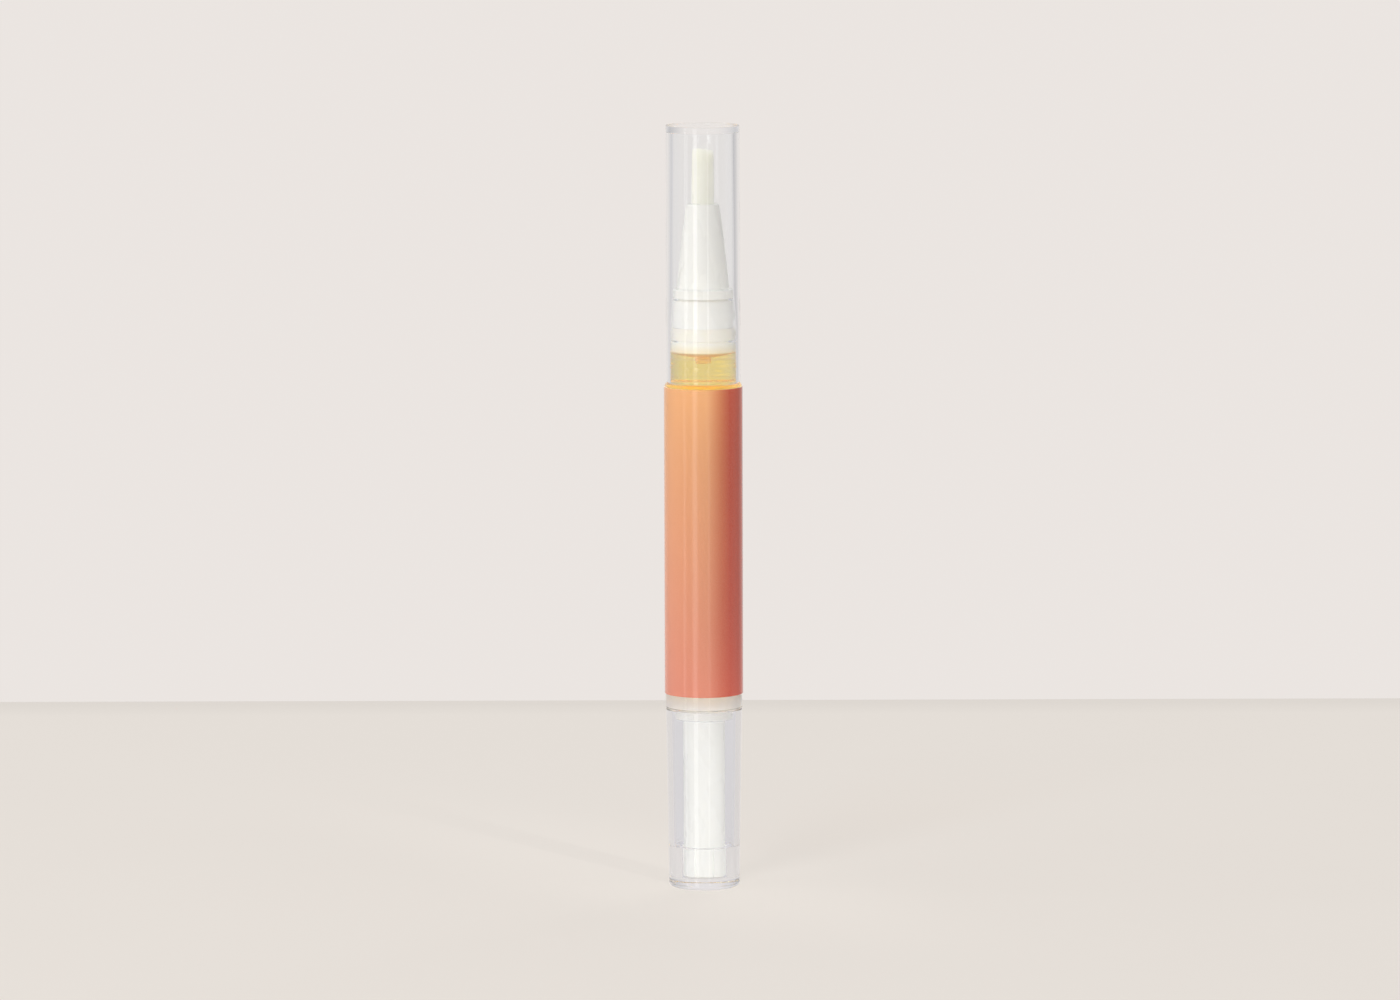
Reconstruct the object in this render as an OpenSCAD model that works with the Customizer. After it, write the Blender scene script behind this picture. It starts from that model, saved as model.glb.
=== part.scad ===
// Twist-up oil pen: a clear pen with a brush tip under a clear cap. A knob at the
// tail turns a keyed screw, which pushes a piston and the oil ahead of it towards
// the brush. Millimetres, +Z up, origin at the centre of the face it stands on.

/* [Barrel] */
// Inside diameter of the barrel, in which the piston slides
bore_d = 9.4; // [9.2:0.1:11]
// Wall of the barrel under the label
barrel_wall = 1.56; // [1.4:0.02:2.4]
// Length of the full-width stretch of the barrel
barrel_length = 53.4; // [51:0.2:70]
// Wall of the neck
neck_wall = 0.65; // [0.5:0.05:0.9]
// Length of the neck that the cap slides over
neck_length = 9; // [8:0.5:12]
// Length of the narrower collar at the top of the neck
collar_length = 5; // [4.4:0.2:8]
// How much smaller the collar's radius is than the neck's
collar_step = 0.4; // [0.3:0.05:0.5]
// How much smaller the radius of the plug's seat is than the bore's
seat_step = 0.4; // [0.3:0.05:0.6]
// Radius of the barrel's outer edges
barrel_round = 0.35; // [0.1:0.05:0.5]
// Height of the snap bead on the neck, out from its wall
snap_height = 0.07; // [0.03:0.01:0.08]
// Height of the guide bead on the collar, out from its wall
bead_height = 0.25; // [0.1:0.05:0.35]
// Width of the guide bead, along the pen
bead_width = 1.8; // [1:0.1:2.4]

/* [Knob] */
// Length of the twist knob
knob_length = 29.45; // [28:0.05:40]
// Wall of the knob
knob_wall = 0.95; // [0.7:0.05:1.2]
// How far the knob's mouth lies inside the barrel's outside
knob_inset = 0.05; // [0:0.05:0.3]
// How much the knob's radius narrows towards its base
knob_taper = 0.42; // [0:0.02:0.6]
// Thickness of the knob's floor
knob_floor = 1.8; // [1.2:0.1:3]
// Height of the socket that grips the drive sleeve, over the floor
socket_height = 5; // [3:0.5:8]
// Radius of the knob's bottom edge
knob_round = 0.8; // [0.3:0.1:1.2]
// Depth of the recess under the knob's floor
foot_recess = 0.35; // [0.1:0.05:0.6]
// Width of the ring that the pen stands on
foot_width = 1.3; // [0.8:0.1:2]
// Number of splines that lock the sleeve in the knob
spline_count = 6; // [4:1:8]
// Height of a spline, out from the sleeve
spline_height = 0.22; // [0.15:0.01:0.3]
// Width of a spline
spline_width = 0.8; // [0.5:0.1:1.2]

/* [Cap] */
// Wall of the cap's skirt
cap_wall = 0.63; // [0.5:0.01:1]
// Thickness of the cap's top
cap_top = 1.1; // [0.8:0.1:2]
// Free height over the brush
cap_headroom = 2.85; // [1:0.05:6]
// How much the cap's bore narrows towards its top
cap_draft = 0.2; // [0.05:0.05:0.3]
// How much the cap's outside narrows towards its top
cap_taper = 0.08; // [0:0.01:0.15]
// Radius of the cap's top edge
cap_round = 0.5; // [0.2:0.05:0.8]

/* [Nozzle] */
// Thickness of the nozzle's flange
flange_thickness = 1.45; // [1:0.05:2.5]
// Width of the ledge that the flange leaves round the cone
flange_ledge = 0.65; // [0.4:0.05:0.9]
// Length of the cone, from the flange to the tip
cone_length = 13.8; // [11:0.2:20]
// Diameter of the nozzle's tip
tip_d = 5.3; // [4.8:0.1:5.8]
// Wall of the nozzle's skirt
skirt_wall = 0.95; // [0.7:0.05:1.2]
// Radius of the nozzle's tip edge
tip_round = 0.25; // [0.1:0.05:0.35]

/* [Brush] */
// Diameter of the brush at the nozzle's tip
brush_d = 3.7; // [3.2:0.1:4]
// Length of brush that shows over the tip
brush_reach = 8.8; // [6:0.2:12]
// Length of brush inside the nozzle
brush_root_depth = 5.6; // [4:0.2:7]
// Thickness of one bristle
bristle_d = 0.15; // [0.1:0.01:0.16]
// Number of bristles
bristle_count = 330; // [300:10:400]
// Outside diameter of the feed tube in the brush
feed_d = 0.9; // [0.7:0.05:1.1]
// Wall of the feed tube
feed_wall = 0.15; // [0.1:0.01:0.2]

/* [Inner plug] */
// Length of the plug under the nozzle
plug_length = 4; // [3:0.1:6]
// Diameter of the hole that meters the oil
metering_d = 0.9; // [0.6:0.1:1.4]
// Length of the nub under the plug
nub_length = 1.1; // [0.6:0.1:2]

/* [Screw drive] */
// Diameter of the screw
screw_d = 4.4; // [4:0.1:4.6]
// Thickness of the screw across its two flats
screw_flats = 3.1; // [2.8:0.1:3.4]
// Room between the bush and the piston of a full pen
full_gap = 6.8; // [1:0.1:7]
// Outside diameter of the drive sleeve
sleeve_d = 6.8; // [6.6:0.1:7]
// Length of the piston
piston_length = 7; // [5.6:0.2:8]
// Length of the bush's tail that stands out of the barrel
bush_tail = 1.8; // [1:0.1:2.6]
// Length of the thread in the bush
thread_length = 7.2; // [5:0.2:7.6]
// Number of teeth of the ratchet
ratchet_teeth = 24; // [18:1:30]
// Height of a ratchet tooth
tooth_height = 0.25; // [0.15:0.01:0.3]

/* [Label] */
// Thickness of the label
label_thickness = 0.11; // [0.05:0.01:0.2]
// Bare barrel under the label
label_bottom_margin = 2.4; // [1:0.1:6]
// Bare barrel over the label
label_top_margin = 0.6; // [0.5:0.1:4]
// Width of the strip where the label's ends overlap
label_overlap = 2.6; // [1:0.2:5]

/* [Hidden] */

// How fine the curves are drawn
$fn = 96;
// One overrun for every cut
cut = 0.5;
// Radial clearance of pieces that are pressed or snapped together
press_gap = 0.02;
// Radial clearance of pieces that slide or turn in each other
running_gap = 0.05;
// Radial clearance between the cap's skirt and the neck
cap_gap = 0.1;
// Gap along the pen between two faces that turn or lift off
face_gap = 0.15;
// Small edge round of the clear shells
lip_round = 0.12;

// Barrel
bore_r = bore_d / 2;
barrel_r = bore_r + barrel_wall;
neck_r = bore_r + neck_wall;
seat_r = bore_r - seat_step;
collar_r = neck_r - collar_step;
barrel_z = knob_length + face_gap;
shoulder_z = barrel_z + barrel_length;
neck_z = shoulder_z + neck_length;
collar_z = neck_z + collar_length;
// Places of the beads, as shares of the stretch that carries them
snap_share = 0.29;
bead_share = 0.26;
snap_width = 0.6;
snap_z = shoulder_z + snap_share * neck_length;
bead_z = neck_z + bead_share * collar_length;
bead_top_z = bead_z + bead_width;

// Nozzle
flange_inset = 0.05;
flange_r = collar_r - flange_inset;
flange_top_z = collar_z + flange_thickness;
cone_r = flange_r - flange_ledge;
tip_r = tip_d / 2;
tip_z = flange_top_z + cone_length;
skirt_r = seat_r - press_gap;
skirt_bore_r = skirt_r - skirt_wall;
skirt_z = neck_z + face_gap;
relief_depth = 0.35;
relief_height = 0.65;
cone_bulge_share = 0.07;
tip_round_from = 30;

// Brush
brush_r = brush_d / 2;
brush_z = tip_z + brush_reach;
root_z = tip_z - brush_root_depth;
root_body_length = 2.6;
root_flange_length = 0.8;
root_flange_width = 0.55;
root_slice = 0.4;
tip_bore_r = brush_r + running_gap;
root_seat_z = root_z - root_body_length;
root_bore_r = brush_r + root_flange_width + press_gap;
feed_r = feed_d / 2;
feed_inner_r = feed_r - feed_wall;
feed_below = 1.6;
feed_above = 3.2;

// Bristles: how far the tuft's rim lies under its crown, how far it slants, and how
// much it gathers to its tip, as shares of its radius
brush_crown_share = 0.3;
brush_slant_share = 0.3;
brush_gather_share = 0.05;
// Their places, on a sunflower spiral between the feed tube and the rim
golden_angle = 180 * (3 - sqrt(5));
bristle_inner_r = feed_r + bristle_d;
bristle_outer_r = brush_r - bristle_d / 2;
bristle_places = [for (i = [0:bristle_count - 1]) let (t = (i + 0.5) / bristle_count)
    [sqrt((1 - t) * pow(bristle_inner_r, 2) + t * pow(bristle_outer_r, 2)),
     golden_angle * i]];

// Inner plug
plug_r = seat_r - press_gap;
plug_top_z = neck_z - running_gap;
plug_z = plug_top_z - plug_length;
plug_groove_depth = 0.3;
plug_groove_width = 0.4;
plug_groove_share = 0.47;
plug_cup_share = 0.62;
plug_cone_depth = 0.55;
nub_r = 0.85;
nub_z = plug_z - plug_cone_depth - nub_length;
plug_seat_depth = 0.6;
seat_z = plug_z - plug_seat_depth;
metering_r = metering_d / 2;

// Screw drive
screw_r = screw_d / 2;
piston_r = bore_r - press_gap;
piston_waist = 0.5;
piston_lip_share = 0.2;
piston_dish_depth = 0.6;
head_r = screw_r - running_gap;
head_length = 1.8;
head_neck_r = 1.3;
head_lip_length = 1;
head_play = 0.1;
sleeve_r = sleeve_d / 2;
sleeve_floor = 0.8;
sleeve_z = knob_floor + running_gap;
screw_z = sleeve_z + sleeve_floor + face_gap;
keyway_r = screw_r + running_gap;
keyway_flats = screw_flats + 2 * running_gap;
spline_r = sleeve_r + spline_height;
spline_gap = 0.05;

// End bush and click ring, measured up from the barrel's end face
bush_r = bore_r - press_gap;
bush_z = barrel_z - bush_tail;
bush_wall = 0.53;
bush_bore_r = bush_r - bush_wall;
click_rise = 0.9;
click_z = barrel_z + click_rise;
click_height = 1.8;
click_gap = 0.1;
click_neck_depth = 0.6;
click_neck_r = sleeve_r - click_neck_depth;
click_neck_height = click_height + 2 * click_gap;
click_ring_r = click_neck_r + press_gap;
click_band = 0.35;
catch_rise = 0.45;
catch_z = click_z + click_neck_height + catch_rise;
catch_height = 1;
catch_r = sleeve_r + 2 * running_gap;
catch_overlap = 0.4;
sleeve_collar_z = catch_z + catch_height + face_gap;
sleeve_collar_height = 1;
sleeve_collar_r = catch_r + catch_overlap;
sleeve_nose_height = 0.8;
sleeve_top_z = sleeve_collar_z + sleeve_collar_height + sleeve_nose_height;
thread_z = sleeve_top_z + 2 * face_gap;
bush_top_z = thread_z + thread_length;
bush_chamfer = 0.5;
tooth_pitch_angle = 360 / ratchet_teeth;
tooth_sink = 0.05;
tooth_root_r = bush_bore_r + tooth_sink;
tooth_crest_r = bush_bore_r - tooth_height;
pawl_reach_angle = 70;
pawl_thickness = 0.22;
pawl_nose = 0.12;
pawl_nose_angle = 3;
ring_opening_angle = 104;
ring_opening_at = 125;

// Piston of a full pen
piston_z = bush_top_z + full_gap;
piston_top_z = piston_z + piston_length;

// Knob
knob_mouth_r = barrel_r - knob_inset;
knob_base_r = knob_mouth_r - knob_taper;
socket_z = knob_floor + socket_height;
socket_r = sleeve_r + running_gap;
boss_fillet = 0.4;

// Cap
cap_z = shoulder_z + running_gap;
cap_skirt_bore_r = neck_r + cap_gap;
cap_r = cap_skirt_bore_r + cap_wall;
cap_ledge_z = bead_top_z + face_gap;
cap_flange_gap = 0.25;
cap_bore_r = flange_r + cap_flange_gap;
cap_bore_top_r = cap_bore_r - cap_draft;
cap_roof_z = brush_z + cap_headroom;
cap_top_z = cap_roof_z + cap_top;
cap_roof_round = 0.35;

// Label
glue_gap = 0.05;
label_r = barrel_r + glue_gap;
label_z = barrel_z + label_bottom_margin;
label_top_z = shoulder_z - label_top_margin;
label_overlap_angle = 360 * label_overlap / (2 * PI * barrel_r);
label_seam_angle = 90 - label_overlap_angle / 2;

// Oil
oil_gap = 0.03;

// Points of an arc round centre c, from angle a to angle b
function arc(c, r, a, b, steps = 6) =
    [for (i = [0:steps]) let (t = a + (b - a) * i / steps) c + r * [cos(t), sin(t)]];

// Radius of the knob's outside at height z
function knob_outside(z) = knob_base_r + (knob_mouth_r - knob_base_r) * z / knob_length;

// Radius of the nozzle's cone at share t of the way from the tip to the flange
function cone_outside(t) =
    tip_r + (cone_r - tip_r) * (t + 4 * cone_bulge_share * t * (1 - t));

// A solid turned from an outline of [radius, height] points
module turned(outline) {
    rotate_extrude() polygon(outline);
}

// A round plate between two heights
module slab(r, from, to) {
    translate([0, 0, from]) cylinder(r = r, h = to - from);
}

// A round bar with two flats, as the screw and its keyway have
module flatted_bar(r, flats, from, to) {
    intersection() {
        slab(r, from, to);
        translate([-flats / 2, -r - cut, from])
            cube([flats, 2 * (r + cut), to - from]);
    }
}

// Clear cap: a drafted tube with a closed top, a wider skirt bore and a ledge that
// stops on the collar's bead
module cap() {
    color([0.86, 0.88, 0.92, 0.35])
    turned(concat(
        arc([cap_skirt_bore_r + lip_round, cap_z + lip_round], lip_round, 180, 270),
        arc([cap_r - lip_round, cap_z + lip_round], lip_round, -90, 0),
        arc([cap_r - cap_taper - cap_round, cap_top_z - cap_round], cap_round, 0, 90),
        [[0, cap_top_z], [0, cap_roof_z]],
        arc([cap_bore_top_r - cap_roof_round, cap_roof_z - cap_roof_round],
            cap_roof_round, 90, 0),
        [[cap_bore_r, cap_ledge_z + cap_gap],
         [cap_bore_r + cap_gap, cap_ledge_z],
         [cap_skirt_bore_r, cap_ledge_z]]
    ));
}

// Clear barrel: thick round the piston's bore, with the shoulder that stops the cap,
// the neck with its snap bead, and the collar that holds the nozzle
module barrel() {
    color([0.88, 0.9, 0.94, 0.35])
    turned(concat(
        [[bore_r, barrel_z]],
        arc([barrel_r - lip_round, barrel_z + lip_round], lip_round, -90, 0),
        arc([barrel_r - barrel_round, shoulder_z - barrel_round], barrel_round, 0, 90),
        [[neck_r, shoulder_z], [neck_r, snap_z - snap_width / 2],
         [neck_r + snap_height, snap_z],
         [neck_r, snap_z + snap_width / 2], [neck_r, neck_z - collar_step / 2],
         [collar_r + collar_step / 2, neck_z], [collar_r, neck_z],
         [collar_r, bead_z], [collar_r + bead_height, bead_z + bead_height],
         [collar_r + bead_height, bead_top_z - bead_height],
         [collar_r, bead_top_z]],
        arc([collar_r - lip_round, collar_z - lip_round], lip_round, 0, 90),
        [[seat_r, collar_z], [seat_r, seat_z], [bore_r, seat_z - seat_step]]
    ));
}

// White nozzle: an ogive cone over a flange that caps the collar, and a skirt that
// plugs into it
module nozzle() {
    steps = 14;
    color([0.95, 0.95, 0.92])
    turned(concat(
        [[skirt_bore_r, skirt_z], [skirt_r - relief_depth / 2, skirt_z],
         [skirt_r, skirt_z + relief_depth],
         [skirt_r, collar_z - relief_height - relief_depth],
         [skirt_r - relief_depth, collar_z - relief_height],
         [skirt_r - relief_depth, collar_z + press_gap]],
        [[flange_r - lip_round, collar_z + press_gap]],
        arc([flange_r - lip_round, collar_z + press_gap + lip_round], lip_round, -90, 0),
        arc([flange_r - tip_round, flange_top_z - tip_round], tip_round, 0, 90),
        [for (i = [0:steps]) let (t = i / steps)
            [cone_outside(1 - t),
             flange_top_z + t * (cone_length - tip_round)]],
        arc([tip_r - tip_round, tip_z - tip_round], tip_round, tip_round_from, 90),
        [[tip_bore_r, tip_z], [tip_bore_r, root_seat_z], [root_bore_r, root_seat_z],
         [root_bore_r, root_seat_z - root_flange_length],
         [skirt_bore_r, collar_z]]
    ));
}

// Natural plug in the neck: two sealing bands, a cup that feeds the nozzle and a nub
// with the metering hole
module inner_plug() {
    groove_z = plug_z + plug_groove_share * plug_length;
    cup_z = plug_top_z - plug_cup_share * plug_length;
    color([0.95, 0.93, 0.84, 0.9])
    turned([
        [metering_r, nub_z], [nub_r, nub_z], [nub_r, plug_z - plug_cone_depth],
        [2 * nub_r, plug_z - plug_cone_depth],
        [plug_r - relief_depth, plug_z], [plug_r, plug_z + relief_depth / 2],
        [plug_r, groove_z], [plug_r - plug_groove_depth, groove_z],
        [plug_r - plug_groove_depth, groove_z + plug_groove_width],
        [plug_r, groove_z + plug_groove_width],
        [plug_r, plug_top_z], [skirt_bore_r, plug_top_z],
        [skirt_bore_r, cup_z + plug_cone_depth], [2 * nub_r, cup_z],
        [metering_r, cup_z]
    ]);
}

// Points and triangles of one bristle: a bar of three sides from its root to its tip,
// where a is its place on the tuft as [radius, angle]
function bristle_points(a) =
    let (lean = a[0] * cos(a[1]) / brush_r,
         top = brush_z - brush_crown_share * brush_r * pow(a[0] / brush_r, 2)
             - brush_slant_share * brush_r * (1 + lean) / 2,
         root = a[0] * [cos(a[1]), sin(a[1])],
         end = (1 - brush_gather_share) * root)
    concat([for (k = [0:2]) [root[0] + bristle_d / 2 * cos(120 * k + a[1]),
                             root[1] + bristle_d / 2 * sin(120 * k + a[1]),
                             root_z - root_slice / 2]],
           [for (k = [0:2]) [end[0] + bristle_d / 3 * cos(120 * k + a[1]),
                             end[1] + bristle_d / 3 * sin(120 * k + a[1]), top]]);
bristle_faces = [[0, 1, 2], [3, 5, 4], [0, 4, 1], [0, 3, 4], [1, 5, 2], [1, 4, 5],
                 [2, 3, 0], [2, 5, 3]];

// Nylon bristles, fused at their roots into a slice of the root block
module brush_bristles() {
    points = [for (a = bristle_places) each bristle_points(a)];
    faces = [for (i = [0:bristle_count - 1]) each
             [for (f = bristle_faces) [for (k = f) k + 6 * i]]];
    color([0.93, 0.93, 0.84])
    union() {
        polyhedron(points = points, faces = faces);
        difference() {
            slab(brush_r, root_z - root_slice, root_z);
            slab(feed_r + press_gap, root_z - root_slice - cut, root_z + cut);
        }
    }
}

// Root block of the brush, with the flange that stops under the nozzle's seat
module brush_root() {
    bottom = root_seat_z - root_flange_length;
    color([0.9, 0.9, 0.82])
    difference() {
        union() {
            slab(brush_r, bottom, root_z - root_slice);
            slab(brush_r + root_flange_width, bottom, root_seat_z - press_gap);
        }
        slab(feed_r + press_gap, bottom - cut, root_z + cut);
    }
}

// Thin tube that carries oil through the root block into the bristles
module feed_tube() {
    from = root_seat_z - root_flange_length - feed_below;
    to = root_z + feed_above;
    color([0.9, 0.9, 0.88])
    difference() {
        slab(feed_r, from, to);
        slab(feed_inner_r, from - cut, to + cut);
    }
}

// Printed label, wound round the barrel with its ends overlapped at the back
module label() {
    overlap_points = concat(
        [[0, 0]],
        arc([0, 0], 2 * label_r, label_seam_angle,
            label_seam_angle + label_overlap_angle, 4));
    color([0.93, 0.6, 0.44])
    union() {
        difference() {
            slab(label_r + label_thickness, label_z, label_top_z);
            slab(label_r, label_z - cut, label_top_z + cut);
        }
        intersection() {
            difference() {
                slab(label_r + 2 * label_thickness, label_z, label_top_z);
                slab(label_r + label_thickness / 2, label_z - cut, label_top_z + cut);
            }
            translate([0, 0, label_z]) linear_extrude(label_top_z - label_z)
                polygon(overlap_points);
        }
    }
}

// Oil between the piston's dish and the plug, round its nub
module oil() {
    r = bore_r - oil_gap;
    color([0.92, 0.83, 0.45, 0.6])
    turned([
        [0, piston_top_z - piston_dish_depth + oil_gap],
        [nub_r + oil_gap, piston_top_z - piston_dish_depth + oil_gap],
        [piston_r - piston_waist, piston_top_z + oil_gap],
        [r, piston_top_z + oil_gap],
        [r, seat_z - seat_step - oil_gap],
        [seat_r - oil_gap, seat_z - oil_gap],
        [seat_r - oil_gap, plug_z - oil_gap],
        [plug_r - relief_depth, plug_z - oil_gap],
        [2 * nub_r + oil_gap, plug_z - plug_cone_depth - oil_gap],
        [nub_r + oil_gap, plug_z - plug_cone_depth - oil_gap],
        [nub_r + oil_gap, nub_z - oil_gap],
        [0, nub_z - oil_gap]
    ]);
}

// White piston: two wiping lips round a waist, a dished crown and a socket in which
// the screw's head turns
module piston() {
    lip = piston_lip_share * piston_length;
    socket_from = piston_z + head_lip_length;
    socket_to = socket_from + head_length + 2 * head_play;
    color([0.94, 0.94, 0.91])
    turned([
        [head_neck_r + 2 * head_play, piston_z],
        [piston_r - piston_waist / 2, piston_z], [piston_r, piston_z + piston_waist / 2],
        [piston_r, piston_z + lip], [piston_r - piston_waist, piston_z + lip + piston_waist],
        [piston_r - piston_waist, piston_top_z - lip - piston_waist],
        [piston_r, piston_top_z - lip], [piston_r, piston_top_z],
        [piston_r - piston_waist, piston_top_z],
        [nub_r + oil_gap, piston_top_z - piston_dish_depth],
        [0, piston_top_z - piston_dish_depth], [0, socket_to],
        [head_r + head_play, socket_to], [head_r + head_play, socket_from],
        [head_neck_r + 2 * head_play, socket_from]
    ]);
}

// White screw: a round bar with two flats that keep it from turning in the sleeve, and
// a head that snaps into the piston
module screw_rod() {
    bar_top = piston_z - head_play;
    head_z = piston_z + head_lip_length + head_play;
    color([0.93, 0.93, 0.9])
    union() {
        flatted_bar(screw_r, screw_flats, screw_z, bar_top);
        slab(head_neck_r, bar_top - cut, head_z + cut);
        turned([[0, head_z], [head_r, head_z], [head_r, head_z + head_length / 2],
                [head_neck_r, head_z + head_length], [0, head_z + head_length]]);
    }
}

// One tooth of the ratchet: a steep face at its own angle and a slope up to the next. Its
// root starts behind the bore, so that the slope leaves the bore at a clean edge
module ratchet_tooth(index) {
    from = index * tooth_pitch_angle;
    to = from + tooth_pitch_angle;
    back_r = tooth_root_r + bush_wall / 2;
    translate([0, 0, click_z]) linear_extrude(click_neck_height)
        polygon([back_r * [cos(from), sin(from)],
                 tooth_root_r * [cos(from), sin(from)],
                 tooth_crest_r * [cos(to), sin(to)],
                 back_r * [cos(to), sin(to)]]);
}

// Natural bush in the barrel's tail: the ratchet, the catch that holds the sleeve and
// the thread that the screw climbs
module end_bush() {
    color([0.9, 0.89, 0.86, 0.8])
    union() {
        turned([
            [bush_bore_r, bush_z], [bush_r - lip_round, bush_z],
            [bush_r, bush_z + lip_round], [bush_r, bush_top_z - bush_chamfer],
            [bush_r - bush_chamfer, bush_top_z], [keyway_r + lip_round, bush_top_z],
            [keyway_r, bush_top_z - lip_round],
            [keyway_r, thread_z], [bush_bore_r, thread_z],
            [bush_bore_r, catch_z + catch_height], [catch_r, catch_z + catch_height],
            [catch_r, catch_z + catch_height / 2], [bush_bore_r, catch_z]
        ]);
        for (i = [0:ratchet_teeth - 1]) ratchet_tooth(i);
    }
}

// White drive sleeve: splined into the knob, necked for the click ring, caught in the
// bush and keyed to the screw all along
module drive_sleeve() {
    color([0.95, 0.95, 0.92])
    difference() {
        union() {
            turned([
                [0, sleeve_z], [sleeve_r - lip_round, sleeve_z],
                [sleeve_r, sleeve_z + lip_round], [sleeve_r, click_z],
                [click_neck_r, click_z], [click_neck_r, click_z + click_neck_height],
                [sleeve_r, click_z + click_neck_height],
                [sleeve_r, sleeve_collar_z], [sleeve_collar_r, sleeve_collar_z],
                [sleeve_collar_r, sleeve_collar_z + sleeve_collar_height / 2],
                [sleeve_r, sleeve_collar_z + sleeve_collar_height],
                [sleeve_r, sleeve_top_z], [0, sleeve_top_z]
            ]);
            for (i = [0:spline_count - 1])
                rotate(360 * i / spline_count)
                    translate([0, -spline_width / 2, sleeve_z])
                        cube([spline_r, spline_width,
                              socket_height - 2 * running_gap]);
        }
        flatted_bar(keyway_r, keyway_flats, sleeve_z + sleeve_floor, sleeve_top_z + cut);
    }
}

// Outline of one pawl: an arm that leaves the ring and winds out, trailing as the knob
// turns, to a nose that rides the teeth's crests
module pawl_outline() {
    steps = 8;
    root_r = click_ring_r + click_band / 2;
    end_r = tooth_crest_r - running_gap - pawl_nose;
    sweep = pawl_reach_angle - pawl_nose_angle;
    polygon(concat(
        [for (i = [0:steps]) let (a = pawl_reach_angle - sweep * i / steps)
            (root_r + (end_r - root_r) * i / steps) * [cos(a), sin(a)]],
        [[end_r + pawl_nose, 0], [end_r - pawl_thickness, 0]],
        [for (i = [steps:-1:0]) let (a = pawl_reach_angle - sweep * i / steps)
            (root_r - pawl_thickness + (end_r - root_r) * i / steps) * [cos(a), sin(a)]]
    ));
}

// White click ring: an open ring on the sleeve's neck with two springy pawls
module click_ring() {
    from = click_z + click_gap;
    to = from + click_height;
    reach = 2 * sleeve_r;
    half_angle = ring_opening_angle / 2;
    color([0.93, 0.93, 0.9])
    difference() {
        union() {
            slab(click_ring_r + click_band, from, to);
            for (side = [0, 1])
                rotate(180 * side) translate([0, 0, from])
                    linear_extrude(to - from) pawl_outline();
        }
        slab(click_ring_r, from - cut, to + cut);
        rotate(ring_opening_at) translate([0, 0, from - cut])
            linear_extrude(to - from + 2 * cut)
                polygon([[0, 0], reach * [cos(half_angle), -sin(half_angle)],
                         reach * [cos(half_angle), sin(half_angle)]]);
    }
}

// Clear knob: a drafted cup with a solid boss at its foot, splined to the sleeve
module knob() {
    bore_at_boss = knob_outside(socket_z) - knob_wall;
    bore_at_mouth = knob_mouth_r - knob_wall;
    ring_outer = knob_base_r - knob_round;
    color([0.86, 0.88, 0.93, 0.35])
    difference() {
        turned(concat(
            [[0, foot_recess], [ring_outer - foot_width, foot_recess],
             [ring_outer - foot_width + foot_recess, 0]],
            arc([ring_outer, knob_round], knob_round, -90, 0),
            arc([knob_mouth_r - lip_round, knob_length - lip_round], lip_round, 0, 90),
            arc([bore_at_mouth + lip_round, knob_length - lip_round], lip_round, 90, 180),
            arc([bore_at_boss - boss_fillet, socket_z + boss_fillet],
                boss_fillet, 0, -90),
            [[socket_r, socket_z], [socket_r, knob_floor], [0, knob_floor]]
        ));
        for (i = [0:spline_count - 1])
            rotate(360 * i / spline_count)
                translate([0, -spline_width / 2 - spline_gap, knob_floor])
                    cube([spline_r + spline_gap, spline_width + 2 * spline_gap,
                          socket_height + cut]);
    }
}

cap();
brush_bristles();
brush_root();
feed_tube();
nozzle();
inner_plug();
barrel();
label();
oil();
piston();
screw_rod();
end_bush();
drive_sleeve();
click_ring();
knob();
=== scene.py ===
"""Looks of a twist-up oil pen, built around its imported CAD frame.

Sizes are millimetres, taken from the frame's boxes where these give them, and become
Blender's metres as a mesh is made. +Z runs along the pen, and -Y is the label's front.
"""

import math
import random

import bmesh
import bpy
from mathutils import Matrix, Vector


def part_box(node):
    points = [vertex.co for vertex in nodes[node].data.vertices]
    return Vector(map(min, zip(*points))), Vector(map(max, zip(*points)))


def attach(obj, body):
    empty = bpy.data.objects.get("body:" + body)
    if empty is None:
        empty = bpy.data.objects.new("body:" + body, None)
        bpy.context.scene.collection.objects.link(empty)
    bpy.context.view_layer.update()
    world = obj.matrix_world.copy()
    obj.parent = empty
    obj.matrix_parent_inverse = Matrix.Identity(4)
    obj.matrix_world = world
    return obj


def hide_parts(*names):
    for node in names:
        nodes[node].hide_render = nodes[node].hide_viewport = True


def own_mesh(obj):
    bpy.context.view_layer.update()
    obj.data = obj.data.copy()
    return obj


MM = 0.001
# Mesh quality: steps round the axis, steps of a rounded corner, and where a straight
# stretch gets its extra point, which keeps the shading flat between the corners
SEGMENTS = 192
CORNER_STEP = math.radians(20)
HOLD = 0.05
SHARP_ANGLE = math.radians(32)
# The most of a straight stretch that the fillet at its end may take
FILLET_SHARE = 0.45
TINY = 1e-6
# Fillets of moulded edges, from crisp to round
CRISP = 0.05
FINE = 0.1
EASED = 0.2
SOFT = 0.3
ROUND = 0.4

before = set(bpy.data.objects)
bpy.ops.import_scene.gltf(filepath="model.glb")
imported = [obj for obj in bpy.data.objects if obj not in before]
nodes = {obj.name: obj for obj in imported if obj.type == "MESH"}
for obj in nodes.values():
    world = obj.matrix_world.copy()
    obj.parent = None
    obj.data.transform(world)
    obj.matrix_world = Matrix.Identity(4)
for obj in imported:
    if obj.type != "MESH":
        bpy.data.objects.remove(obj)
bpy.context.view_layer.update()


def bottom(node):
    """The height of the node's lower end."""
    return round(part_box(node)[0].z / MM, 3)


def top(node):
    """The height of the node's upper end."""
    return round(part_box(node)[1].z / MM, 3)


def radius(node):
    """The node's reach to the side."""
    return round(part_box(node)[1].x / MM, 2)


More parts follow.
